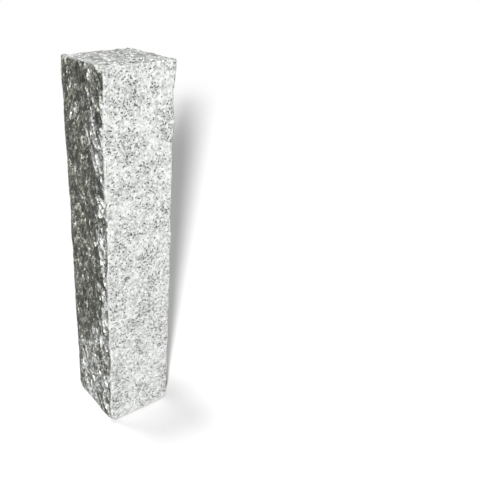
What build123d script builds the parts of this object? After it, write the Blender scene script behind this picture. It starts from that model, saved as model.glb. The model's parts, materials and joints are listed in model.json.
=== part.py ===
from build123d import *
import math
import os
import random

# A granite palisade: one square post of natural stone that stands upright on its foot.
# It comes from a slab with two faces dressed flat. The slab was split across into posts, so two
# opposite sides are dressed, and the other two, and the head, are rough split faces.
# The splitting flaked the arrises on the split sides, and knocks took corners off head and foot.
# Millimetres, +Z up, the origin in the middle of the foot. -Y is the dressed front, -X a split side.

# The post
post_height = 500.0  # foot to head
post_width = 100.0  # X, from split side to split side
slab_thickness = 100.0  # Y, from dressed face to dressed face

# The rough sides
wave_count = 5  # waves that cross on each side
pitch_range = (0.9, 1.6)  # how far from crest to crest, as shares of a side's common distance
split_wave = 48.0  # a common distance from crest to crest on a split side
split_relief = 2.6  # from the deepest hollow to the highest crest of such waves
ledge_wave = 25.0  # the same distance between the ledges that the splitting left
ledge_relief = 2.0
ledge_fade = 0.6  # share of a ledge's height that fades out at the arrises
crest_rise = 0.5  # how far the split sides are moved out, since the crests of both seldom meet
edge_fall = 0.3  # how much lower a split side lies at its arrises
dressed_wave = 110.0  # the same distance on a dressed side, left by the dresser's hammer
dressed_relief = 0.7
section_step = 12.5  # between the level outlines that the sides are drawn through
side_points = 8  # spans of a split side between its two arrises
wave_draw = 15886  # which stone: the draw that places the waves
flake_draw = 3  # and the draw that turns the flakes
middle_tolerance = 0.05  # how closely the finished stone is measured to find its middle

# The edges
arris_wear = 1.2  # width of the worn band on each upright arris
foot_rim = 3.4  # radius worn onto the edges of the foot
head_rim = 2.0  # radius worn onto the edges of the head
rim_clearance = 0.4  # how far outside the highest crests these rims start

# Hollow flakes off the upright arrises: share of the height, length along the arris, depth
front_left_flakes = ((0.632, 46, 3.2), (0.158, 40, 2.8))
front_right_flakes = ((0.925, 56, 3.6), (0.785, 60, 3.2), (0.690, 42, 3.0), (0.500, 54, 1.6), (0.225, 52, 1.4))
back_left_flakes = ((0.930, 46, 1.0), (0.720, 60, 2.0), (0.590, 80, 2.6), (0.400, 60, 1.2), (0.170, 90, 2.0))
back_right_flakes = ((0.950, 40, 2.4), (0.820, 60, 1.8), (0.600, 66, 3.0), (0.440, 48, 2.2), (0.240, 60, 1.8))
flake_lean = 7.0  # degrees that a scar on an arris leans from the split side to the dressed one
lean_spread = 4.2  # degrees that this differs from flake to flake
tilt_spread = 3.4  # degrees that a scar faces up or down

# Flakes that broke off below a ledge: X side, Y side, share of the height, length, depth, slant in degrees
ledged_flakes = (
    (-1, -1, 0.960, 40, 3.4, 32),
    (-1, -1, 0.672, 84, 3.8, 22),
    (-1, -1, 0.572, 66, 3.0, 42),
    (-1, -1, 0.328, 26, 2.0, 35),
    (-1, -1, 0.240, 84, 2.8, 30),
    (-1, 1, 0.480, 70, 2.0, 24),
    (1, 1, 0.700, 64, 2.4, 28),
    (1, -1, 0.400, 52, 1.6, 34),
)
ledge_rise = 2.5  # how much higher a ledge is than deep
flake_round = 120.0  # radius of a ledged flake, seen from above

# Corners knocked off: X side, Y side, then the way the scar faces, its length and its depth
head_knocks = ((-1, -1, (-0.67, -0.32, 0.67), 90, 8.0),)
foot_knocks = (
    (1, -1, (0.66, -0.20, -0.72), 60, 5.9),
    (-1, 1, (-0.62, 0.25, -0.62), 50, 4.3),
    (-1, -1, (-0.64, -0.34, -0.69), 60, 6.4),
)

# Hollows in the split head: share of the width, share of the thickness, length, depth
head_hollows = ((-0.24, -0.10, 52, 1.6), (0.25, -0.22, 58, 1.5), (0.06, 0.27, 62, 1.3), (-0.36, 0.36, 36, 1.2))


def rough_side(rng, wave, relief):
    """A function of a place on a side that gives how far the stone lies below its highest crest."""
    waves = []
    for turn in range(wave_count):
        bearing = math.pi * (turn + rng.random()) / wave_count
        pitch = wave * rng.uniform(*pitch_range)
        waves.append((math.cos(bearing) / pitch, math.sin(bearing) / pitch, rng.random()))

    def hollow(across, height):
        total = sum(math.sin(2 * math.pi * (a * across + b * height + start)) for a, b, start in waves)
        return relief * (1 - total / wave_count) / 2

    return hollow


def split_face(rng):
    """A split side: long waves, with ledges on them that fade towards the arrises."""
    waves = rough_side(rng, split_wave, split_relief)
    ledges = rough_side(rng, ledge_wave, ledge_relief)

    def hollow(across, height):
        fade = 1 - ledge_fade * (2 * across / slab_thickness) ** 4
        return waves(across, height) + fade * ledges(across, height) - crest_rise

    return hollow


def outline(height, left, right, front, back):
    """The level outline of the post: two dressed sides, two split sides and four worn arrises."""
    half_width = post_width / 2
    half_thickness = slab_thickness / 2

    def split_side(side, hollow):
        points = []
        for i in range(side_points + 1):
            y = (half_thickness - arris_wear) * (2 * i / side_points - 1)
            fall = edge_fall * (y / half_thickness) ** 4
            points.append((side * (half_width - fall - hollow(y, height)), y, height))
        return points

    def dressed_side(side, hollow, start, end):
        y = side * half_thickness
        first = start[0] - math.copysign(arris_wear, start[0])
        last = end[0] - math.copysign(arris_wear, end[0])
        return (first, y - side * hollow(first, height), height), (last, y - side * hollow(last, height), height)

    left_points = split_side(-1, left)[::-1]
    right_points = split_side(1, right)
    front_points = dressed_side(-1, front, left_points[-1], right_points[0])
    back_points = dressed_side(1, back, right_points[-1], left_points[0])
    spans = [i / side_points for i in range(side_points + 1)]
    return Wire(
        [
            Edge.make_line(*front_points),
            Edge.make_line(front_points[1], right_points[0]),
            Edge.make_spline(right_points, parameters=spans),
            Edge.make_line(right_points[-1], back_points[0]),
            Edge.make_line(*back_points),
            Edge.make_line(back_points[1], left_points[0]),
            Edge.make_spline(left_points, parameters=spans),
            Edge.make_line(left_points[-1], front_points[0]),
        ]
    )


def split_block():
    """The stone as it comes from the slab, drawn past both ends and cut to length there."""
    rng = random.Random(wave_draw)
    left = split_face(rng)
    right = split_face(rng)
    front = rough_side(rng, dressed_wave, dressed_relief)
    back = rough_side(rng, dressed_wave, dressed_relief)
    steps = math.ceil(post_height / section_step)
    heights = [post_height * i / steps for i in range(-1, steps + 2)]
    stone = Solid.make_loft([outline(height, left, right, front, back) for height in heights])
    width = post_width + 2 * rim_clearance
    thickness = slab_thickness + 2 * rim_clearance
    envelope = Box(width, thickness, post_height, align=(Align.CENTER, Align.CENTER, Align.MIN))
    ends = envelope.faces().sort_by(Axis.Z)
    envelope = fillet(ends[0].edges(), foot_rim)
    envelope = fillet(envelope.faces().sort_by(Axis.Z)[-1].edges(), head_rim)
    return stone & envelope


def scar(place, facing, length, depth):
    """The ball that leaves a flake's scar of this length and depth at a place, facing that way."""
    radius = (length**2 / 4 + depth**2) / (2 * depth)
    center = Vector(*place) + Vector(*facing).normalized() * (radius - depth)
    bearing = math.degrees(math.atan2(facing[1], facing[0]))
    return Pos(center) * Rot(Z=bearing) * Sphere(radius)


def arris_scars(x_side, y_side, flakes, rng):
    """Scars down one upright arris: they face the split side and lean a little to the dressed one."""
    balls = []
    for share, length, depth in flakes:
        lean = math.radians(flake_lean + lean_spread * rng.uniform(-1, 1))
        tilt = math.radians(tilt_spread * rng.uniform(-1, 1))
        facing = (x_side * math.cos(lean), y_side * math.sin(lean), math.tan(tilt))
        place = (x_side * (post_width / 2 - edge_fall), y_side * slab_thickness / 2, share * post_height)
        balls.append(scar(place, facing, length, depth))
    return balls


def ledged_flake(x_side, y_side, share, length, depth, slant):
    """The turned tool that takes a flake off an arris: deepest at its slanted ledge, thinning out below."""
    lean = math.radians(flake_lean)
    facing = Vector(x_side * math.cos(lean), y_side * math.sin(lean), 0)
    place = Vector(x_side * (post_width / 2 - edge_fall), y_side * slab_thickness / 2, share * post_height)
    inner = x_side * (flake_round - depth)
    foot = -length
    top = ledge_rise * depth
    ledge = (x_side * flake_round, 0, 0)
    profile = Polyline((0, 0, foot), (inner, 0, foot), ledge, (inner, 0, top), (0, 0, top), close=True)
    tool = revolve(make_face(profile), Axis.Z)
    return Pos(place + facing * (flake_round - depth)) * Rot(X=-y_side * slant) * tool


def hollow_scars():
    """The hollow flakes, knocked corners and hollows that are missing from the split block."""
    rng = random.Random(flake_draw)
    balls = arris_scars(-1, -1, front_left_flakes, rng)
    balls += arris_scars(1, -1, front_right_flakes, rng)
    balls += arris_scars(-1, 1, back_left_flakes, rng)
    balls += arris_scars(1, 1, back_right_flakes, rng)
    for height, knocks in ((post_height, head_knocks), (0.0, foot_knocks)):
        for x_side, y_side, facing, length, depth in knocks:
            corner = (x_side * post_width / 2, y_side * slab_thickness / 2, height)
            balls.append(scar(corner, facing, length, depth))
    for x_share, y_share, length, depth in head_hollows:
        place = (x_share * post_width, y_share * slab_thickness, post_height)
        balls.append(scar(place, (0, 0, 1), length, depth))
    return balls


granite_palisade = split_block() - hollow_scars() - [ledged_flake(*flake) for flake in ledged_flakes]
points = granite_palisade.tessellate(middle_tolerance)[0]
middle_x = (min(point.X for point in points) + max(point.X for point in points)) / 2
middle_y = (min(point.Y for point in points) + max(point.Y for point in points)) / 2
granite_palisade = Pos(-middle_x, -middle_y, 0) * granite_palisade
granite_palisade.label = "granite_palisade"

os.makedirs("parts", exist_ok=True)
export_step(granite_palisade, "parts/granite_palisade.step")
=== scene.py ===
import json
import math

import bmesh
import bpy
from bpy.props import FloatProperty, FloatVectorProperty, IntProperty, PointerProperty
from mathutils import Euler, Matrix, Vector, noise

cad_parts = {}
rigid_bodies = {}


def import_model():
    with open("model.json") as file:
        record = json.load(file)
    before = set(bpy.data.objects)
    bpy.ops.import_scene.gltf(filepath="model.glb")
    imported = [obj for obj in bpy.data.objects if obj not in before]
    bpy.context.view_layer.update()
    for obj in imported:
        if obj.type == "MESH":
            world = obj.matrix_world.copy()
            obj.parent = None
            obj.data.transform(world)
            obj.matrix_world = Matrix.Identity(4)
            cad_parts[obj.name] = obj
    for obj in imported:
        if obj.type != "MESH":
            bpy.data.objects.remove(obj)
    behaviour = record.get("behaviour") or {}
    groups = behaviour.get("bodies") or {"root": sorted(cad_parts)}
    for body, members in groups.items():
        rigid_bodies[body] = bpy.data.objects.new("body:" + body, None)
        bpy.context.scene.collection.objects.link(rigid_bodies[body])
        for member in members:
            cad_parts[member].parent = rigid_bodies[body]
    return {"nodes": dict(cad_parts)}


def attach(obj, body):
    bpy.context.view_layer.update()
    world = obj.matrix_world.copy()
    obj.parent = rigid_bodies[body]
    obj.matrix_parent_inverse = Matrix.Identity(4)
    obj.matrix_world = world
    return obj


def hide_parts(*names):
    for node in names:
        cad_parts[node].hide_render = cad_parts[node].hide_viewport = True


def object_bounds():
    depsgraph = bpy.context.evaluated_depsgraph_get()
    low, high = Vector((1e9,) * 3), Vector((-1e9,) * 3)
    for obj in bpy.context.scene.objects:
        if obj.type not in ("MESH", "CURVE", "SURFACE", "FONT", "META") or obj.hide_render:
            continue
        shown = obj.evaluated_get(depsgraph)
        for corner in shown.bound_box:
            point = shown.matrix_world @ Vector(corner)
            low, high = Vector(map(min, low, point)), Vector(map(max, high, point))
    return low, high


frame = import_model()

bl_info = {
    "name": "Granite palisade",
    "version": (1, 0, 0),
    "blender": (4, 5, 0),
    "location": "3D View > Sidebar > Stone",
    "description": "Breaks, dresses and colours a split granite post and lights it on a plain stage",
    "category": "Object",
}

CAD_NODE = "granite_palisade"
LOWEST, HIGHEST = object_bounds()
HALF_WIDTH = (HIGHEST.x - LOWEST.x) / 2
HALF_THICKNESS = (HIGHEST.y - LOWEST.y) / 2
HEIGHT = HIGHEST.z - LOWEST.z
MERGE_DISTANCE = 1e-6
PHOTO_SIZE = 480  # pixels on each side of the picture
SENSOR_WIDTH = 36.0  # millimetres
FLOOR_SIDES = 96
NODE_STEP = 220  # between the shader nodes in the editor

# Where one kind of surface passes into the next, by how squarely the stone faces along one axis there
DRESSED_FACING = (0.86, 0.97)
FOOT_FACING = (0.80, 0.95)
HEAD_FACING = (0.62, 0.92)
SPLIT_FACING = (0.72, 0.94)
SMOOTH_FACING = (0.80, 0.97)  # from rough to dressed
HEAD_SMOOTH_FACING = (0.34, 0.64)  # from a split side to the smoother head
SWELL_FACING = (0.5, 0.9)
FACE_LIMIT = 0.7  # a side that faces along an axis less than this ends at the arrises across that axis
HEAD_CRUSHING = 0.80  # against 1 on a dressed side
HEAD_SMOOTHING = 0.70  # how much of the roughness the head lacks
EDGE_ROUGHNESS = 0.12  # what is left of the roughness right at an arris

# The worn edges, by how much the stone faces along its second axis, to a dressed side and up
WORN_TURN = (0.25, 0.55)
WORN_SIDE = (0.1, 0.3)
WORN_HEAD = (0.2, 0.5)
HEAD_WEAR_LOST = 0.5
WIDEN_FROM = 0.3  # points that are worn less than this don't spread it
WIDEN_KEPT = 0.85

# The flaked band beside the front arris
LOW_HEIGHTS = (0.05, 0.20)  # metres above the foot over which the band narrows
LOW_WIDENING = 1.9
# Painted light: near the foot more of the flakes are white, which makes the foot lighter.
FOOT_PAINTED_LIGHT = 0.4
BAND_WANDER = 0.9
BAND_WAVES = 30  # per metre
BAND_CORE = 0.5  # share of the band that is fully flaked
STRIP_END = 1.7  # how many times the band's breadth the deeper strip reaches
FLAKE_BEND = 0.007  # metres by which the rows of flakes bend
FLAKE_BENDS = 24  # per metre
FLAKE_WANDER = (0.45, 0.8)  # how far the flakes' edges waver, in flakes, and how often
FLAKE_CLIMB = {"white": 1.0, "painted_shade_flake": -0.6, "other": 0.2}  # rise towards the back, in flake rises
FLAKE_JUMP = 0.5  # how much one flake stands above the next
FLAKE_SINK = 0.7
FLAKE_EDGE = (0.2, 0.5)  # where in the band its flakes start to show their tone
WHITE_STRENGTH = 0.84
# Painted shade: flakes that face up, and those near the head, are made less white, which holds down the light
# that falls on them from the front lamp.
WHITE_UP_LIMIT = (0.30, 0.55)  # a flake that faces up more than this isn't white
HEAD_FLAKES = (0.455, 0.475)  # metres above the foot from where flakes are greyer
HEAD_FLAKES_LOST = 0.55

# The splinters of the split sides
CELL_DRAW = 53.7  # turns a cell's place into its own random draw
SPLINTER_WANDER = (0.35, 0.9)
SPLINTER_SLOPES = (0.5, 1.2, 1.4)  # taken off the draws across and to the front, and the spread upright
SPLINTER_JUMP = 0.5
SPLINTER_SINK = 0.4

# Fractal noise: dimension, lacunarity and octaves, and the value that leaves the surface in place
MARKS = (0.7, 2.0, 3)
MARKS_MIDDLE = 0.5
SWELLS = (0.7, 2.0, 2)
SWELLS_MIDDLE = 0.3

# The granite. A pair of tones or shares belongs to the low and the high end of what drives it.
CENTRE = (0.5, 0.5, 0.5)  # middle of a random colour
WAVER_SCALE = 700.0
WAVER = 0.0016  # metres by which the crystals' edges waver
CLUSTER_SCALE = 38.0
CLUSTER_ENDS = (0.35, 0.65)
FINE_SCALE = 900.0
QUARTZ_SIZE = 1.15  # against a common crystal
MICA_SIZE = 0.66
# Painted glints: size of the crystals that are given a pale colour in place of the glint of their cleavage
# faces.
PAINTED_GLINT_SIZE = 0.8
SEEDS = {"feldspar": 0.0, "quartz": 0.31, "mica": 0.57, "painted_glint": 0.83}
QUARTZ_CLUSTERS = (0.5, 1.5)
MICA_CLUSTERS = (0.1, 2.2)
GREY_IN_PALE = (0.0, 0.55)
FAINTEST_QUARTZ = 0.5
FAINTEST_MICA = 0.65
SMALL_FACETS = 2.3  # how many times smaller than the large ones
SMALL_SLOPE = 0.6
# Slivers: the lightest facets of a split side are whitened, as bruises and also as painted glints.
LARGE_SLIVERS = 0.6
SLIVER_WHITENESS = 0.34
WHITE_PATCHES = (0.55, 1.15)
RIM_WHITENESS = (0.0, 0.5)
# Painted shade and light from the relief: hollows are painted darker and crests lighter, running between
# these relief heights and tones.
PAINTED_RELIEF_SHADE_ENDS = (-0.0009, 0.0006)  # metres
HOLLOW_SHADE_CREST_LIGHT_TONES = (0.36, 1.22)
ZONE_TONES = (1.02, 0.93)
WHITE_CALM = 0.45  # how much of the facets' contrast a white flake loses
# Painted shade: a dark flake's colour is darkened by this share, standing in for the shade of a flake that
# faces away from the front lamp.
PAINTED_SHADE_LOSS = 0.45  # how much light a dark flake loses
ROUGHNESS = (0.82, 0.5)  # of other crystals and of quartz


def number(name, description, default, **options):
    """A plain number."""
    return FloatProperty(name=name, description=description, default=default, **options)


def length(name, description, default):
    """A length in metres, shown in the scene's units."""
    return number(name, description, default, unit="LENGTH", subtype="DISTANCE")


def share(name, description, default):
    """A share from 0 to 1."""
    return number(name, description, default, min=0, max=1, subtype="FACTOR")


def slope(name, description, degrees):
    """An angle, given in degrees."""
    return number(name, description, math.radians(degrees), unit="ROTATION", subtype="ANGLE")


def vector(name, description, default, **options):
    """Three numbers."""
    return FloatVectorProperty(name=name, description=description, default=default, size=3, **options)


def spot(name, description, default):
    """A place in metres."""
    return vector(name, description, default, unit="LENGTH", subtype="XYZ")


def colour(name, description, default):
    """A linear colour."""
    return vector(name, description, default, min=0, max=1, subtype="COLOR")


class StoneReliefSettings(bpy.types.PropertyGroup):
    """How rough the split and the dressed sides are."""

    spacing: length("Mesh spacing", "Distance between the points of the stone's surface", 0.00106)
    kept: share("Kept triangles", "Share of the triangles that stays where the surface is even", 0.49)
    chip_size: length("Chips", "Breadth of the chips on a split side", 0.0090)
    chip_slope: slope("Chip slope", "How steeply a chip leans", 5.5)
    crystal_size: length("Broken crystals", "Breadth of the smallest facets that are drawn", 0.0042)
    crystal_slope: slope("Crystal slope", "How steeply a broken crystal leans", 11.0)
    rift_lean: slope("Rift", "How far the chips lean from upright, down to the front", 20.0)
    rift_stretch: number("Stretch", "How much longer the chips are than broad", 1.9)
    dressed_height: length("Hammer marks", "Depth of the marks on a dressed side", 0.00030)
    dressed_size: length("Hammer mark size", "Breadth of the marks on a dressed side", 0.005)
    head_height: length("Head swells", "Height of the soft swells on the head", 0.0013)
    head_size: length("Head swell size", "Breadth of the swells on the head", 0.013)
    edge_band: length("Flaked band", "Breadth of the flaked band beside the front arris", 0.041)
    flake_size: length("Flakes", "Breadth of the flakes in that band", 0.0072)
    flake_stretch: number("Flake stretch", "How much longer the flakes are than broad", 2.1)
    flake_lean: slope("Flake lean", "How far the flakes lean from upright, down to the front", 30.0)
    flake_rise: number("Flake rise", "Rise of a white flake over its run", 0.38)
    white_share: share("White flakes", "Share of the flakes that is bruised white", 0.54)
    # The flakes drawn by this share face away from the front, and their colour is also darkened as painted
    # shade.
    painted_shade_flake_share: share("Dark flakes", "Share of the flakes that faces away from the front", 0.28)
    crest: length("Crest", "How far the highest flakes stand out", 0.0010)
    # The strip is sunk by this depth, which through the relief's tone also paints it darker as painted shade.
    strip_sink_and_shade: length("Strip depth", "How much deeper the strip beyond the flaked band lies", 0.0004)
    rim_steps: IntProperty(name="Rim", description="Breadth of the worn rims, in mesh steps", default=1)
    trimmed: length("Trimmed edge", "Breadth of the strip beside an arris that is less rough", 0.006)
    draw: IntProperty(name="Draw", description="Which stone: places its chips and flakes", default=1, min=1)


class GraniteSettings(bpy.types.PropertyGroup):
    """The minerals of the granite, fresh where it split and crushed where tools bruised it."""

    feldspar: colour("Feldspar", "Colour of the fresh pale crystals", (0.30, 0.305, 0.262))
    quartz: colour("Quartz", "Colour of the fresh grey crystals", (0.098, 0.103, 0.066))
    mica: colour("Mica", "Colour of the fresh black flakes", (0.012, 0.013, 0.010))
    crushed_feldspar: colour("Crushed feldspar", "Colour of bruised pale crystals", (0.90, 0.915, 0.90))
    crushed_quartz: colour("Crushed quartz", "Colour of bruised grey crystals", (0.42, 0.432, 0.415))
    crushed_mica: colour("Crushed mica", "Colour of bruised black flakes", (0.035, 0.037, 0.035))
    # Painted glints: a few crystals take this pale colour in place of the glint of their cleavage faces.
    painted_glint: colour("Cleaved feldspar", "Colour of the few crystals that glint white", (0.60, 0.61, 0.58))
    grain: length("Grain", "Breadth of a common crystal", 0.0024)
    quartz_share: share("Quartz share", "Share of the crystals that is quartz", 0.28)
    mica_share: share("Mica share", "Share of the small crystals that is mica", 0.105)
    painted_glint_share: share("Cleaved share", "Share of the crystals that glint white", 0.08)
    # The slivers of this share are whitened as bruises and also as painted glints.
    sliver_bruise_and_glint_share: share("Slivers", "Share of the small facets that a bruise whitened", 0.055)
    facet: length("Facets", "Breadth of the large facets that only the shading shows", 0.0054)
    # Painted light and shade: each facet on a split side takes a random tone between these ends, which stands
    # in for the light and shade of its tilt.
    painted_facet_contrast: number("Facet contrast", "Tone of the lightest large facet over the darkest", 6.5)
    painted_small_contrast: number("Small contrast", "The same for the small facets on them", 5.0)
    facet_slope: number("Facet slope", "Rise of the steepest facets over their run", 2.4)
    flake_tilt: vector("Flake tilt", "How far the facets of white flakes lean", (0.0, 0.30, -0.14))
    pitting: length("Pitting", "Depth of the fine pits of all crystals", 0.0002)


class StageSettings(bpy.types.PropertyGroup):
    """The camera, the lamps and the floor."""

    camera_place: spot("Camera", "Where the camera stands", (-0.3360, -0.5742, 0.6076))
    camera_turn: slope("Turn", "How far the camera looks from +Y towards +X", 32.40)
    camera_tilt: slope("Tilt", "How far the camera looks down", 27.43)
    focal_pixels: number("Focal length", "In pixels of the picture", 558.5)
    centre_pixel: number("Picture centre", "Column that the camera faces", 137.9)
    key_power: number("Key lamp", "Power of the front lamp", 1055.0, unit="POWER")
    key_place: spot("Key place", "Where the front lamp hangs", (-4.05, -5.05, 4.60))
    key_size: length("Key size", "Breadth of the front lamp", 0.9)
    fill_power: number("Fill lamp", "Power of the lamp behind", 620.0, unit="POWER")
    fill_place: spot("Fill place", "Where the lamp behind hangs", (4.60, 4.20, 0.90))
    fill_size: length("Fill size", "Breadth of the lamp behind", 1.6)
    sky_strength: number("Sky", "Strength of the even light from all round", 0.08)
    floor_radius: length("Floor", "Radius of the floor", 6.0)
    floor_tone: colour("Floor tone", "Colour of the floor as the camera sees it", (0.9, 0.9, 0.9))
    floor_return: colour("Floor return", "Colour of the floor as it lights the stone", (0.30, 0.30, 0.30))
    fade_start: length("Fade start", "How far from the stone the floor starts to fade to white", 1.1)
    fade_end: length("Fade end", "How far from the stone the floor is plain white", 2.6)
    shade_turn: slope("Shadow turn", "How far the long shadow runs from +Y towards +X", 40.0)
    shade_height: slope("Shadow height", "How high the sun stands that draws it", 13.0)
    shade_softness: slope("Shadow softness", "Angle that this sun fills", 5.0)
    shade_depth: number("Shadow depth", "Strength of this sun", 10.1)
    foot_turn: slope("Foot shadow turn", "How far the shadow round the foot runs from +Y towards +X", 155.0)
    foot_height: slope("Foot shadow height", "How high the sun stands that draws it", 80.0)
    foot_softness: slope("Foot shadow softness", "Angle that this sun fills", 7.0)
    foot_depth: number("Foot shadow depth", "Strength of this sun", 1.1)


def smooth_step(limits, value):
    """0 below the first limit, 1 above the second, and a smooth rise between them."""
    low, high = limits
    t = min(max((value - low) / (high - low), 0.0), 1.0)
    return t * t * (3 - 2 * t)


def cell_at(place, wander):
    """The place with its wavering, the middle of the nearest random cell and that cell's own draw."""
    reach, often = wander
    place = place + reach * noise.noise_vector(place * often)
    cell = noise.voronoi(place)[1][0]
    return place, cell, noise.cell_vector(cell * CELL_DRAW)


def stepped(place, size, steepness):
    """Height of a surface of splinters: each rises towards the front and ends in a sharp step."""
    place, cell, draw = cell_at(place / size, SPLINTER_WANDER)
    middle, front, spread = SPLINTER_SLOPES
    slopes = Vector((draw.x - middle, draw.y - front, spread * (draw.z - 0.5)))
    rise = (place - cell).dot(slopes) + SPLINTER_JUMP * draw.x - SPLINTER_SINK
    return size * math.tan(steepness) * rise


def lowness(place):
    """1 at the foot, where the flaked band is widest and, as painted light, whitest, and 0 further up."""
    return 1 - smooth_step(LOW_HEIGHTS, place.z)


def flake_at(place, stone):
    """The flake of the band that lies here: if it is bruised white, if its colour takes painted shade as a
    dark flake, and its height.
    """
    bent = place + FLAKE_BEND * noise.noise_vector(place * FLAKE_BENDS)
    across = bent.y - math.tan(stone.flake_lean) * bent.z
    start = Vector((bent.x, across, bent.z / stone.flake_stretch)) / stone.flake_size
    inside, cell, draw = cell_at(start, FLAKE_WANDER)
    # Painted light: more of the flakes near the foot are white.
    white = draw.x < stone.white_share * (1 + FOOT_PAINTED_LIGHT * lowness(place))
    painted_shade_flake = draw.x > 1 - stone.painted_shade_flake_share
    kind = "white" if white else "painted_shade_flake" if painted_shade_flake else "other"
    rise = (inside - cell).y * FLAKE_CLIMB[kind] + FLAKE_JUMP * (draw.y - FLAKE_SINK)
    return white, painted_shade_flake, stone.flake_size * stone.flake_rise * rise


def crushing(normal):
    """How much the tools crushed the surface: all of a dressed side and the foot, most of the head."""
    dressed = smooth_step(DRESSED_FACING, abs(normal.y))
    foot = smooth_step(FOOT_FACING, -normal.z)
    head = HEAD_CRUSHING * smooth_step(HEAD_FACING, normal.z)
    return max(dressed, foot, head)


def flaking(place, normal, band):
    """How far this is in the band of a split side that flaked when the front arris was dressed.

    The second value is how far it is in the strip beyond, where the last flakes broke off deepest; that strip
    is sunk, and through the relief's tone it is also painted darker as painted shade.
    """
    reach = band * (1 + LOW_WIDENING * lowness(place) + BAND_WANDER * noise.noise(place * BAND_WAVES))
    from_front = HALF_THICKNESS + place.y
    side = smooth_step(SPLIT_FACING, abs(normal.x))
    beyond = smooth_step((BAND_CORE * reach, reach), from_front)
    strip = beyond * (1 - smooth_step((reach, STRIP_END * reach), from_front))
    return side * (1 - beyond), side * strip


def wear(normal):
    """How far this is a worn edge of a dressed side or a corner's scar, by the two ways that it faces."""
    second = sorted((abs(normal.x), abs(normal.y), abs(normal.z)))[1]
    edge = smooth_step(WORN_TURN, second) * smooth_step(WORN_SIDE, abs(normal.y))
    return edge * (1 - HEAD_WEAR_LOST * smooth_step(WORN_HEAD, normal.z))


def roughness(place, normal, stone):
    """How far the surface is rough here as the split left it, from 0 where it is dressed to 1."""
    dressed = smooth_step(SMOOTH_FACING, max(abs(normal.y), -normal.z))
    edge = min(
        HALF_THICKNESS - abs(place.y) if abs(normal.y) < FACE_LIMIT else 1.0,
        HALF_WIDTH - abs(place.x) if abs(normal.x) < FACE_LIMIT else 1.0,
        HEIGHT - place.z if abs(normal.z) < FACE_LIMIT else 1.0,
        place.z,
    )
    inner = EDGE_ROUGHNESS + (1 - EDGE_ROUGHNESS) * smooth_step((0.0, stone.trimmed), edge)
    head = 1 - HEAD_SMOOTHING * smooth_step(HEAD_SMOOTH_FACING, normal.z)
    return head * (1 - dressed) * inner


def relief(place, rough, stone):
    """How far the chips, the broken crystals and the hammer marks stand out here, in metres."""
    height = 0.0
    if rough > 0:
        along = place.z / stone.rift_stretch
        grain = Vector((place.x, place.y - math.tan(stone.rift_lean) * place.z, along))
        height += stepped(grain, stone.chip_size, stone.chip_slope)
        height += stepped(grain, stone.crystal_size, stone.crystal_slope)
        height *= rough
    marks = noise.fractal(place / stone.dressed_size, *MARKS)
    return height + stone.dressed_height * (marks - MARKS_MIDDLE)


def head_swell(place, normal, stone):
    """How far the soft swells of the head stand out here, in metres."""
    swell = noise.fractal(Vector((place.x, place.y, 0)) / stone.head_size, *SWELLS)
    return stone.head_height * smooth_step(SWELL_FACING, normal.z) * (swell - SWELLS_MIDDLE)


def whiteness(place, normal, flaked):
    """How white a bruised flake is here: less at the band's end, and less on faces that look up and near the
    head, which is painted shade.
    """
    painted_shade_loss = max(smooth_step(WHITE_UP_LIMIT, normal.z), HEAD_FLAKES_LOST * smooth_step(HEAD_FLAKES, place.z))
    return WHITE_STRENGTH * (1 - painted_shade_loss) * smooth_step(FLAKE_EDGE, flaked)


def widen(shape, layer, steps):
    """Spreads a value from the points that have it to the points beside them, a little less each step."""
    front = [vert for vert in shape.verts if vert[layer] > WIDEN_FROM]
    for _ in range(steps):
        beside = []
        for vert in front:
            for edge in vert.link_edges:
                other = edge.other_vert(vert)
                if other[layer] < WIDEN_KEPT * vert[layer]:
                    other[layer] = WIDEN_KEPT * vert[layer]
                    beside.append(other)
        front = beside


def surface_mesh(spacing):
    """The solid's own surface, merged and drawn again with points at an even spacing."""
    shape = bmesh.new()
    shape.from_mesh(frame["nodes"][CAD_NODE].data)
    bmesh.ops.remove_doubles(shape, verts=shape.verts, dist=MERGE_DISTANCE)
    source = bpy.data.meshes.new("stone source")
    shape.to_mesh(source)
    shape.free()
    blank = bpy.data.objects.new("stone source", source)
    bpy.context.scene.collection.objects.link(blank)
    remesh = blank.modifiers.new("even points", "REMESH")
    remesh.mode = "VOXEL"
    remesh.voxel_size = spacing
    blank.update_tag()
    evaluated = blank.evaluated_get(bpy.context.evaluated_depsgraph_get())
    mesh = bpy.data.meshes.new_from_object(evaluated)
    bpy.data.objects.remove(blank)
    bpy.data.meshes.remove(source)
    return mesh


def break_surface(mesh, stone):
    """Moves every point out or in by the relief and keeps what the material needs to know there."""
    noise.seed_set(stone.draw)  # else the clock would place them anew in each run
    shape = bmesh.new()
    shape.from_mesh(mesh)
    shape.normal_update()
    names = ("crushed", "split", "white", "painted_shade_flake", "worn", "relief")
    layers = [shape.verts.layers.float.new(name) for name in names]
    moves = []
    for vert in shape.verts:
        place = vert.co
        normal = vert.normal
        rough = roughness(place, normal, stone)
        flaked, strip = flaking(place, normal, stone.edge_band)
        white, painted_shade_flake, rise = flake_at(place, stone) if flaked > 0 else (False, False, 0.0)
        height = relief(place, rough, stone) - stone.strip_sink_and_shade * strip + flaked * rough * rise
        height = min(height, stone.crest)
        white_here = whiteness(place, normal, flaked) * white
        # Painted shade: the mask by which dark flakes are darkened.
        painted_shade_here = smooth_step(FLAKE_EDGE, flaked) * painted_shade_flake
        # The relief height is kept for the material, which paints shade in its hollows and light on its
        # crests.
        values = (crushing(normal), rough, white_here, painted_shade_here, wear(normal), height)
        for layer, value in zip(layers, values):
            vert[layer] = value
        moves.append(normal * (height + head_swell(place, normal, stone)))
    widen(shape, layers[names.index("worn")], stone.rim_steps)
    for vert, move in zip(shape.verts, moves):
        vert.co += move
        vert.co.z = max(vert.co.z, 0.0)
    shape.to_mesh(mesh)
    shape.free()


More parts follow.
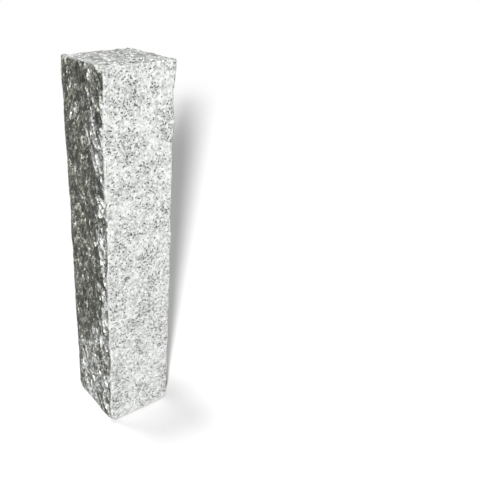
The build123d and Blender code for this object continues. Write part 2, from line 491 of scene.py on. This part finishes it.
def thin_out(stone, share_kept):
    """Takes points away where the surface is even, and leaves them where it is broken."""
    thin = stone.modifiers.new("fewer points", "DECIMATE")
    thin.ratio = share_kept
    evaluated = stone.evaluated_get(bpy.context.evaluated_depsgraph_get())
    mesh = bpy.data.meshes.new_from_object(evaluated)
    stone.modifiers.clear()
    stone.data = mesh


def add_node(tree, kind, place, **values):
    """A shader node with its settings, or its sockets' values, by name."""
    node = tree.nodes.new(kind)
    node.location = (place[0] * NODE_STEP, place[1] * -NODE_STEP)
    for name, value in values.items():
        if hasattr(node, name):
            setattr(node, name, value)
        else:
            node.inputs[name].default_value = value
    return node


def feed(tree, socket, value):
    """Links a socket to this one, or sets this number, vector or colour on it."""
    if isinstance(value, bpy.types.NodeSocket):
        tree.links.new(value, socket)
    else:
        socket.default_value = value


def math_node(tree, place, operation, *values):
    """A sum with sockets and numbers, by its operation's name."""
    node = add_node(tree, "ShaderNodeMath", place, operation=operation)
    for socket, value in zip(node.inputs, values):
        feed(tree, socket, value)
    return node.outputs[0]


def vector_node(tree, place, operation, first, second):
    """The same with vectors. The second value of a scaling is its number."""
    node = add_node(tree, "ShaderNodeVectorMath", place, operation=operation)
    feed(tree, node.inputs[0], first)
    feed(tree, node.inputs["Scale" if operation == "SCALE" else 1], second)
    return node.outputs["Value" if operation == "DOT_PRODUCT" else "Vector"]


def blend(tree, place, factor, first, second, mode="MIX"):
    """Two colours, mixed by a factor."""
    node = add_node(tree, "ShaderNodeMix", place, data_type="RGBA", blend_type=mode)
    for socket, value in ((node.inputs["Factor"], factor), (node.inputs[6], first), (node.inputs[7], second)):
        feed(tree, socket, value)
    return node.outputs[2]


def bend(tree, place, source, ends, values, kind="LINEAR"):
    """A value that runs from the first to the second of the values while the source runs between its ends."""
    node = add_node(tree, "ShaderNodeMapRange", place, interpolation_type=kind)
    feed(tree, node.inputs[0], source)
    for index, value in enumerate((*ends, *values)):
        node.inputs[index + 1].default_value = value
    return node.outputs[0]


def noise_node(tree, place, position, scale, detail):
    """Noise that reads a position. The first output is its value and Color is a random colour."""
    node = add_node(tree, "ShaderNodeTexNoise", place, Scale=scale, Detail=detail)
    feed(tree, node.inputs["Vector"], position)
    return node


def new_group(name, inputs, outputs):
    """An empty shader group with these sockets, each with its kind, and the sockets at its two ends."""
    group = bpy.data.node_groups.new(name, "ShaderNodeTree")
    for direction, sockets in (("INPUT", inputs), ("OUTPUT", outputs)):
        for socket, kind in sockets.items():
            group.interface.new_socket(socket, in_out=direction, socket_type="NodeSocket" + kind)
    start = add_node(group, "NodeGroupInput", (0, 0)).outputs
    end = add_node(group, "NodeGroupOutput", (7, 0)).inputs
    return group, start, end


def cells_node(group, position, size):
    """Random cells of this size."""
    cells = add_node(group, "ShaderNodeTexVoronoi", (2, 0), feature="F1", Randomness=1.0)
    feed(group, cells.inputs["Vector"], position)
    feed(group, cells.inputs["Scale"], math_node(group, (1, 0), "DIVIDE", 1.0, size))
    return cells.outputs


def crystal_group():
    """A shader group that scatters crystals: a mask of a share of them, and a random tint for each."""
    inputs = {"Position": "Vector", "Size": "Float", "Share": "Float", "Seed": "Float"}
    group, start, end = new_group("crystals", inputs, {"Mask": "Float", "Tint": "Float"})
    shifted = vector_node(group, (1, 1), "ADD", start["Position"], start["Seed"])
    cells = cells_node(group, shifted, start["Size"])
    draws = add_node(group, "ShaderNodeSeparateColor", (3, 0))
    feed(group, draws.inputs[0], cells["Color"])
    feed(group, end["Mask"], math_node(group, (4, 0), "LESS_THAN", draws.outputs[0], start["Share"]))
    feed(group, end["Tint"], draws.outputs[1])
    return group


def facet_group():
    """A shader group that gives the height of a surface of tilted facets, and a random tint for each."""
    inputs = {"Position": "Vector", "Size": "Float", "Slope": "Float", "Lean": "Vector"}
    group, start, end = new_group("facets", inputs, {"Height": "Float", "Tint": "Float"})
    cells = cells_node(group, start["Position"], start["Size"])
    centred = vector_node(group, (3, 0), "SUBTRACT", cells["Color"], CENTRE)
    away = vector_node(group, (3, 1), "SUBTRACT", start["Position"], cells["Position"])
    steep = vector_node(group, (4, 0), "SCALE", centred, start["Slope"])
    leaning = vector_node(group, (5, 0), "ADD", steep, start["Lean"])
    feed(group, end["Height"], vector_node(group, (6, 0), "DOT_PRODUCT", leaning, away))
    draws = add_node(group, "ShaderNodeSeparateColor", (3, 3))
    feed(group, draws.inputs[0], cells["Color"])
    feed(group, end["Tint"], draws.outputs[0])
    return group


def facet_layers(tree, position, white, granite, stone):
    """The large and the small facets of the broken surface, which lean where a flake is white."""
    turned = add_node(tree, "ShaderNodeMapping", (-5, 9), vector_type="TEXTURE")
    turned.inputs["Rotation"].default_value = (stone.rift_lean, 0, 0)
    turned.inputs["Scale"].default_value = (1, 1, stone.rift_stretch)
    feed(tree, turned.inputs["Vector"], position)
    lean = vector_node(tree, (-5, 11), "SCALE", granite.flake_tilt, white)
    facets = facet_group()
    layers = []
    for row, size, steepness in (
        (9, granite.facet, granite.facet_slope),
        (10, granite.facet / SMALL_FACETS, SMALL_SLOPE * granite.facet_slope),
    ):
        layer = add_node(tree, "ShaderNodeGroup", (-4, row), node_tree=facets)
        for socket, value in zip(layer.inputs, (turned.outputs[0], size, steepness, lean)):
            feed(tree, socket, value)
        layers.append(layer.outputs)
    return layers


def bruising_and_painted_glints(tree, masks, coarse, small, granite):
    """How far the crystals are paled: bruised on crushed sides and white flakes, and on a few slivers that
    are bruised and also painted glints.
    """
    large_limit = 1 - LARGE_SLIVERS * granite.sliver_bruise_and_glint_share
    large_slivers = math_node(tree, (-3, 12), "GREATER_THAN", coarse["Tint"], large_limit)
    small_slivers = math_node(tree, (-3, 13), "GREATER_THAN", small["Tint"], 1 - granite.sliver_bruise_and_glint_share)
    slivers = math_node(tree, (-2, 12), "MAXIMUM", large_slivers, small_slivers)
    split_slivers = math_node(tree, (-1, 13), "MULTIPLY", slivers, masks["split"])
    bruised_and_glinting_slivers = math_node(tree, (-2, 13), "MULTIPLY", split_slivers, SLIVER_WHITENESS)
    patches = bend(tree, (-3, 15), small["Tint"], (0, 1), WHITE_PATCHES)
    patchy = math_node(tree, (-2, 15), "MULTIPLY", masks["white"], patches)
    flakes = math_node(tree, (-1, 14), "MAXIMUM", patchy, bruised_and_glinting_slivers)
    return math_node(tree, (-1, 12), "MAXIMUM", flakes, masks["crushed"])


def crystal_colours(tree, position, clusters, bruised, granite):
    """The colour of the crystals that lie here, and the mask of the quartz."""
    crystals = crystal_group()

    def scatter(row, mineral, size, amount):
        node = add_node(tree, "ShaderNodeGroup", (-4, row), node_tree=crystals)
        for socket, value in zip(node.inputs, (position, size, amount, SEEDS[mineral])):
            feed(tree, socket, value)
        return node.outputs

    def clustered(row, amount, ends):
        """A share of crystals that is larger where they gather and smaller between."""
        return bend(tree, (-5, row), clusters, CLUSTER_ENDS, [amount * end for end in ends])

    def tone_of(row, fresh, crushed):
        """A mineral's colour: fresh where the stone split, bruised where it was crushed."""
        return blend(tree, (-2, row), bruised, (*fresh, 1), (*crushed, 1))

    def strength(row, mineral, faintest):
        """A mineral's mask, with each crystal between its faintest and 1."""
        shown = math_node(tree, (-1, row + 1), "MULTIPLY_ADD", mineral["Tint"], 1 - faintest, faintest)
        return math_node(tree, (0, row + 1), "MULTIPLY", mineral["Mask"], shown)

    quartz_share = clustered(1, granite.quartz_share, QUARTZ_CLUSTERS)
    mica_share = clustered(2, granite.mica_share, MICA_CLUSTERS)
    feldspar = scatter(0, "feldspar", granite.grain, 1.0)
    quartz = scatter(1, "quartz", granite.grain * QUARTZ_SIZE, quartz_share)
    mica = scatter(2, "mica", granite.grain * MICA_SIZE, mica_share)
    painted_glint = scatter(3, "painted_glint", granite.grain * PAINTED_GLINT_SIZE, granite.painted_glint_share)

    pale = tone_of(0, granite.feldspar, granite.crushed_feldspar)
    grey = tone_of(1, granite.quartz, granite.crushed_quartz)
    black = tone_of(2, granite.mica, granite.crushed_mica)
    ground = blend(tree, (-1, 0), bend(tree, (-3, 0), feldspar["Tint"], (0, 1), GREY_IN_PALE), pale, grey)
    with_quartz = blend(tree, (0, 0), strength(0, quartz, FAINTEST_QUARTZ), ground, grey)
    # Painted glints: the few crystals that glint are given a pale colour.
    with_painted_glints = blend(tree, (1, 0), painted_glint["Mask"], with_quartz, (*granite.painted_glint, 1))
    return blend(tree, (2, 0), strength(1, mica, FAINTEST_MICA), with_painted_glints, black), quartz["Mask"]


def light_and_dark(tree, masks, clusters, coarse, small, granite):
    """The tone by which the crystals' colour is multiplied: painted shade in hollows and painted light on
    crests, random zones, painted light and shade of the facets, and painted shade on dark flakes.
    """
    # Painted shade and light: darker in the hollows of the relief, lighter on its crests.
    painted_hollow_shade_crest_light = bend(tree, (0, 6), masks["relief"], PAINTED_RELIEF_SHADE_ENDS, HOLLOW_SHADE_CREST_LIGHT_TONES)
    zones = bend(tree, (0, 7), clusters, CLUSTER_ENDS, ZONE_TONES)
    # Painted light and shade of the facets: a random tone for each facet of a split side.
    spread = math_node(tree, (0, 8), "POWER", granite.painted_facet_contrast, coarse["Tint"])
    finer = math_node(tree, (0, 9), "POWER", granite.painted_small_contrast, small["Tint"])
    middle = (granite.painted_facet_contrast * granite.painted_small_contrast) ** -0.5
    painted_facet_light_shade = math_node(tree, (1, 8), "MULTIPLY", math_node(tree, (1, 9), "MULTIPLY", spread, finer), middle)
    calm = math_node(tree, (0, 10), "MULTIPLY_ADD", masks["white"], -WHITE_CALM, 1.0)
    fresh = math_node(tree, (1, 10), "MULTIPLY", masks["split"], calm)
    more = math_node(tree, (1, 11), "SUBTRACT", painted_facet_light_shade, 1.0)
    facets = math_node(tree, (2, 8), "MULTIPLY_ADD", more, fresh, 1.0)
    # Painted shade on the dark flakes.
    painted_flake_shade = math_node(tree, (2, 9), "MULTIPLY_ADD", masks["painted_shade_flake"], -PAINTED_SHADE_LOSS, 1.0)
    painted_relief_light_and_zones = math_node(tree, (1, 7), "MULTIPLY", painted_hollow_shade_crest_light, zones)
    painted_facet_light_and_flake_shade = math_node(tree, (3, 8), "MULTIPLY", facets, painted_flake_shade)
    return math_node(tree, (2, 7), "MULTIPLY", painted_relief_light_and_zones, painted_facet_light_and_flake_shade)


def granite_material(granite, stone):
    """Granite: crystals of feldspar, quartz and mica, paler where tools crushed them, with painted shade in
    hollows, painted light on crests, painted light and shade on broken facets and a few painted glints.
    """
    material = bpy.data.materials.new("granite")
    material.use_nodes = True
    tree = material.node_tree
    shader = tree.nodes["Principled BSDF"]
    position = add_node(tree, "ShaderNodeTexCoord", (-9, 0)).outputs["Object"]
    masks = {}
    for row, name in enumerate(("crushed", "relief", "white", "split", "painted_shade_flake", "worn")):
        mask = add_node(tree, "ShaderNodeAttribute", (-6, row + 5), attribute_name=name)
        masks[name] = mask.outputs["Fac"]
    wander = noise_node(tree, (-8, 1), position, WAVER_SCALE, 1.0).outputs["Color"]
    centred = vector_node(tree, (-7, 1), "SUBTRACT", wander, CENTRE)
    waver = vector_node(tree, (-6, 1), "SCALE", centred, WAVER)
    wavering = vector_node(tree, (-5, 0), "ADD", position, waver)
    clusters = noise_node(tree, (-7, 3), position, CLUSTER_SCALE, 3.0).outputs[0]
    coarse, small = facet_layers(tree, wavering, masks["white"], granite, stone)

    bruised = bruising_and_painted_glints(tree, masks, coarse, small, granite)
    crystals, quartz = crystal_colours(tree, wavering, clusters, bruised, granite)
    rim = bend(tree, (2, 4), masks["worn"], (0, 1), RIM_WHITENESS)
    with_rims = blend(tree, (3, 2), rim, crystals, (*granite.crushed_feldspar, 1))
    tone = light_and_dark(tree, masks, clusters, coarse, small, granite)
    shade = add_node(tree, "ShaderNodeCombineColor", (3, 6))
    for channel in shade.inputs:
        feed(tree, channel, tone)
    shaded = blend(tree, (4, 0), 1.0, with_rims, shade.outputs[0], "MULTIPLY")
    feed(tree, shader.inputs["Base Color"], shaded)
    feed(tree, shader.inputs["Roughness"], bend(tree, (1, 3), quartz, (0, 1), ROUGHNESS))

    broken = math_node(tree, (-3, 9), "ADD", coarse["Height"], small["Height"])
    masked = math_node(tree, (-2, 9), "MULTIPLY", broken, masks["split"])
    fine = noise_node(tree, (-3, 11), position, FINE_SCALE, 3.0).outputs[0]
    bump = add_node(tree, "ShaderNodeBump", (1, 8), Strength=1.0, Distance=1.0)
    feed(tree, bump.inputs["Height"], math_node(tree, (-1, 9), "MULTIPLY_ADD", fine, granite.pitting, masked))
    feed(tree, shader.inputs["Normal"], bump.outputs[0])
    return material


class STONE_OT_post(bpy.types.Operator):
    """Makes the granite post: its broken and dressed surface, in granite"""

    bl_idname = "stone.post"
    bl_label = "Granite post"

    def execute(self, context):
        scene = context.scene
        mesh = surface_mesh(scene.stone_relief.spacing)
        break_surface(mesh, scene.stone_relief)
        mesh.materials.clear()
        mesh.materials.append(granite_material(scene.stone_granite, scene.stone_relief))
        stone = bpy.data.objects.new("granite_stone", mesh)
        scene.collection.objects.link(stone)
        thin_out(stone, scene.stone_relief.kept)
        stone.data.shade_smooth()
        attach(stone, "root")
        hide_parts(CAD_NODE)
        return {"FINISHED"}


def shown_rays(tree, row):
    """1 for the rays that show the background as white: from the camera, a gloss or a clear surface."""
    rays = add_node(tree, "ShaderNodeLightPath", (-4, row)).outputs
    seen = math_node(tree, (-3, row), "MAXIMUM", rays["Is Camera Ray"], rays["Is Glossy Ray"])
    return math_node(tree, (-2, row), "MAXIMUM", seen, rays["Is Transmission Ray"])


def floor_material(stage):
    """A floor that is white to the camera, keeps the shadow, and throws little light back on the stone."""
    material = bpy.data.materials.new("floor")
    material.use_nodes = True
    tree = material.node_tree
    shader = tree.nodes["Principled BSDF"]
    shader.inputs["Roughness"].default_value = 1.0
    shader.inputs["Specular IOR Level"].default_value = 0.0
    shown = shown_rays(tree, 3)
    tone = blend(tree, (-1, 4), shown, (*stage.floor_return, 1), (*stage.floor_tone, 1))
    feed(tree, shader.inputs["Base Color"], tone)
    place = add_node(tree, "ShaderNodeTexCoord", (-4, 1))
    distance = add_node(tree, "ShaderNodeVectorMath", (-3, 1), operation="LENGTH")
    feed(tree, distance.inputs[0], place.outputs["Object"])
    ends = (stage.fade_start, stage.fade_end)
    fade = bend(tree, (-2, 1), distance.outputs["Value"], ends, (0.0, 1.0), "SMOOTHSTEP")
    white = add_node(tree, "ShaderNodeEmission", (0, 2), Strength=1.0)
    mix = add_node(tree, "ShaderNodeMixShader", (1, 0))
    feed(tree, mix.inputs[0], math_node(tree, (-1, 2), "MULTIPLY", shown, fade))
    feed(tree, mix.inputs[1], shader.outputs[0])
    feed(tree, mix.inputs[2], white.outputs[0])
    feed(tree, tree.nodes["Material Output"].inputs["Surface"], mix.outputs[0])
    return material


class STONE_OT_stage(bpy.types.Operator):
    """Makes the floor, the sky, the lamps of the stone, the suns that draw its shadows and the camera"""

    bl_idname = "stone.stage"
    bl_label = "Stage"

    def execute(self, context):
        scene = context.scene
        stage = scene.stone_stage
        floor = self.make_floor(scene, stage)
        self.make_sky(scene, stage)
        stones = [thing for thing in scene.objects if thing != floor]
        for name, place, power, size in (
            ("key lamp", stage.key_place, stage.key_power, stage.key_size),
            ("fill lamp", stage.fill_place, stage.fill_power, stage.fill_size),
        ):
            self.light_only(self.make_lamp(scene, name, place, power, size), "lit by the " + name, stones)
        for name, strength, height, turn, softness in (
            ("long shadow", stage.shade_depth, stage.shade_height, stage.shade_turn, stage.shade_softness),
            ("foot shadow", stage.foot_depth, stage.foot_height, stage.foot_turn, stage.foot_softness),
        ):
            sun = self.make_sun(scene, name, strength, height, turn, softness)
            self.light_only(sun, "lit for the " + name, [floor])
        self.make_camera(scene, stage)
        scene.view_settings.view_transform = "Standard"
        return {"FINISHED"}

    def make_floor(self, scene, stage):
        shape = bmesh.new()
        bmesh.ops.create_circle(shape, cap_ends=True, segments=FLOOR_SIDES, radius=stage.floor_radius)
        mesh = bpy.data.meshes.new("floor")
        shape.to_mesh(mesh)
        shape.free()
        mesh.materials.append(floor_material(stage))
        floor = bpy.data.objects.new("floor", mesh)
        scene.collection.objects.link(floor)
        return floor

    def make_sky(self, scene, stage):
        """An even light that is plain white where it is seen."""
        world = bpy.data.worlds.new("sky")
        world.use_nodes = True
        scene.world = world
        tree = world.node_tree
        background = tree.nodes["Background"]
        background.inputs["Color"].default_value = (1, 1, 1, 1)
        strength = bend(tree, (-1, 0), shown_rays(tree, 0), (0, 1), (stage.sky_strength, 1.0))
        feed(tree, background.inputs["Strength"], strength)

    def make_lamp(self, scene, name, place, power, size):
        """A square lamp that faces the middle of the stone."""
        lamp = bpy.data.lights.new(name, "AREA")
        lamp.energy = power
        lamp.size = size
        holder = bpy.data.objects.new(name, lamp)
        holder.location = place
        centre = Vector((0, 0, HEIGHT / 2))
        holder.rotation_euler = (centre - Vector(place)).to_track_quat("-Z", "Y").to_euler()
        scene.collection.objects.link(holder)
        return holder

    def make_sun(self, scene, name, strength, height, turn, softness):
        """A lamp that draws a shadow of the stone on the floor."""
        lamp = bpy.data.lights.new(name, "SUN")
        lamp.energy = strength
        lamp.angle = softness
        holder = bpy.data.objects.new(name, lamp)
        holder.rotation_euler = Euler((math.pi / 2 - height, 0, -turn))
        scene.collection.objects.link(holder)
        return holder

    def light_only(self, lamp, name, things):
        """Lets a lamp light only these things, which a collection of this name holds."""
        receivers = bpy.data.collections.new(name)
        for thing in things:
            receivers.objects.link(thing)
        lamp.light_linking.receiver_collection = receivers

    def make_camera(self, scene, stage):
        lens = bpy.data.cameras.new("camera")
        lens.sensor_width = SENSOR_WIDTH
        lens.lens = stage.focal_pixels / PHOTO_SIZE * SENSOR_WIDTH
        lens.shift_x = 0.5 - stage.centre_pixel / PHOTO_SIZE
        camera = bpy.data.objects.new("camera", lens)
        camera.location = stage.camera_place
        camera.rotation_euler = Euler((math.pi / 2 - stage.camera_tilt, 0, -stage.camera_turn))
        scene.collection.objects.link(camera)
        scene.camera = camera


class STONE_PT_panel(bpy.types.Panel):
    """Lists the stone's settings and steps in the sidebar"""

    bl_idname = "STONE_PT_panel"
    bl_label = "Granite palisade"
    bl_space_type = "VIEW_3D"
    bl_region_type = "UI"
    bl_category = "Stone"

    def draw(self, context):
        scene = context.scene
        for title, settings, operator in (
            ("Surface", scene.stone_relief, None),
            ("Granite", scene.stone_granite, STONE_OT_post.bl_idname),
            ("Stage", scene.stone_stage, STONE_OT_stage.bl_idname),
        ):
            box = self.layout.box()
            box.label(text=title)
            for name in settings.__annotations__:
                box.prop(settings, name)
            if operator:
                box.operator(operator)


CLASSES = (
    StoneReliefSettings,
    GraniteSettings,
    StageSettings,
    STONE_OT_post,
    STONE_OT_stage,
    STONE_PT_panel,
)


def register():
    """Adds the settings, operators and panel."""
    for item in CLASSES:
        bpy.utils.register_class(item)
    bpy.types.Scene.stone_relief = PointerProperty(type=StoneReliefSettings)
    bpy.types.Scene.stone_granite = PointerProperty(type=GraniteSettings)
    bpy.types.Scene.stone_stage = PointerProperty(type=StageSettings)


def unregister():
    """Takes them away again."""
    del bpy.types.Scene.stone_stage
    del bpy.types.Scene.stone_granite
    del bpy.types.Scene.stone_relief
    for item in reversed(CLASSES):
        bpy.utils.unregister_class(item)


def main():
    """Makes the stone and its stage."""
    register()
    bpy.ops.stone.post()
    bpy.ops.stone.stage()


if __name__ == "__main__":
    main()
